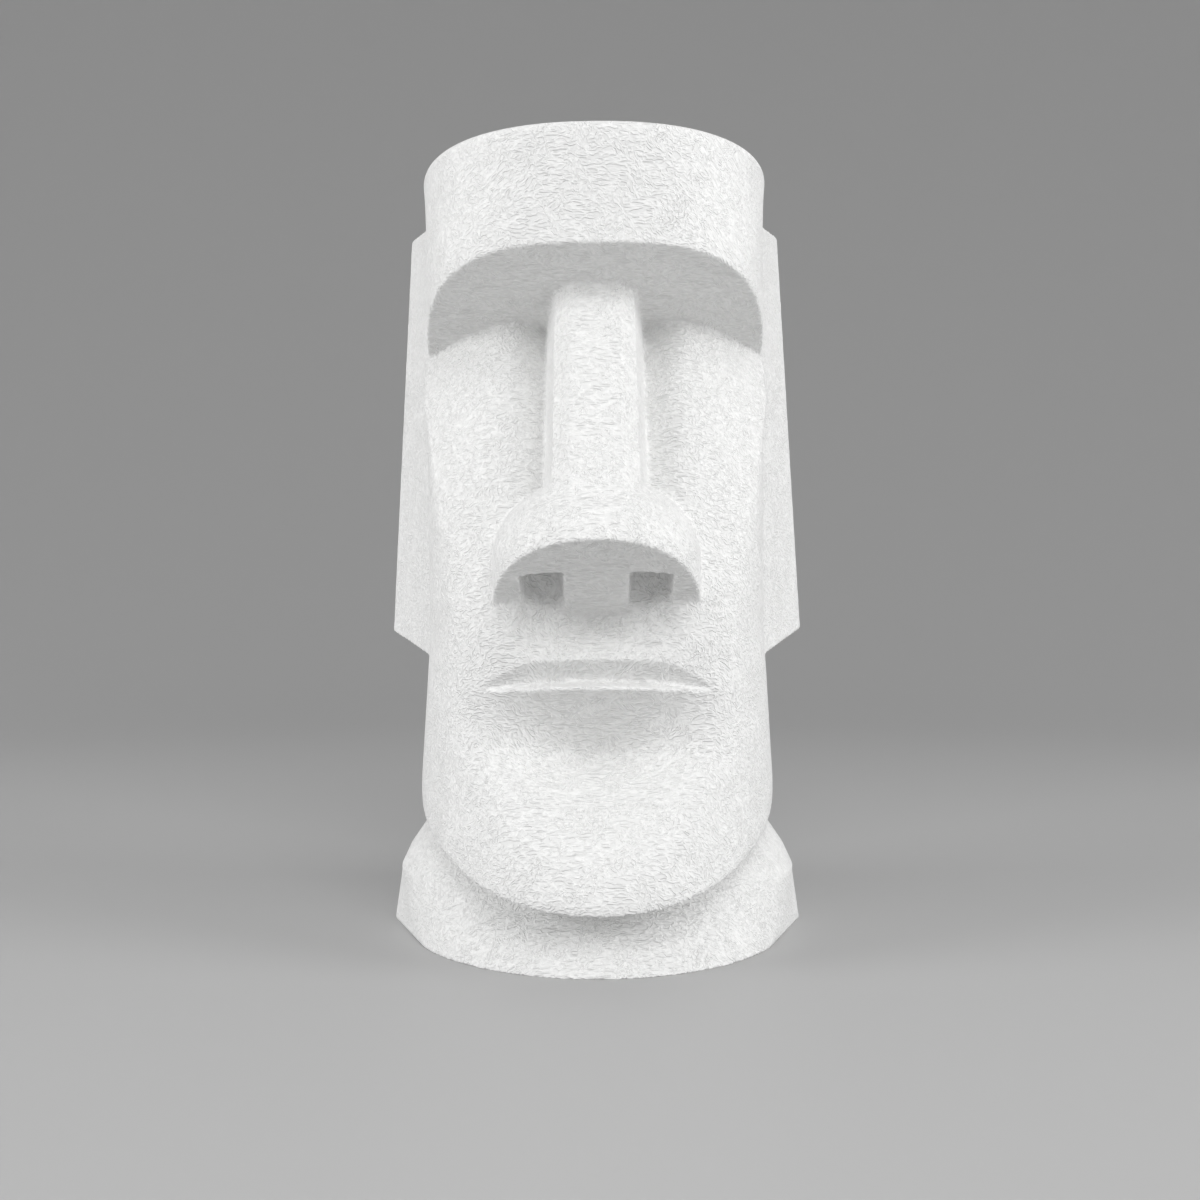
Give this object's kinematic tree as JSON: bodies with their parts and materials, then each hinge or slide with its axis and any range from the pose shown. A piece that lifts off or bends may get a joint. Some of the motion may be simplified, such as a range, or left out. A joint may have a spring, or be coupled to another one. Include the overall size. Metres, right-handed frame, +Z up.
{
  "type": "moai head statue",
  "caption": "Stylised moai stone head ornament on a flared base: flat crown, overhanging brow, long ridged nose, slab ears, slit mouth and heavy jaw, cast in one piece.",
  "frame": {"origin": "middle of the flat underside's bounding rectangle, on the surface it stands on", "axes": "+Z up the head, -Y out of the face, +X to the right of a person who faces it"},
  "size_m": [0.1408, 0.1638, 0.242],
  "materials": {
    "cast_plaster": "matt white, with a fine worm-like relief"
  },
  "bodies": {
    "root": {"moai_statue": "cast_plaster"}
  },
  "joints": []
}
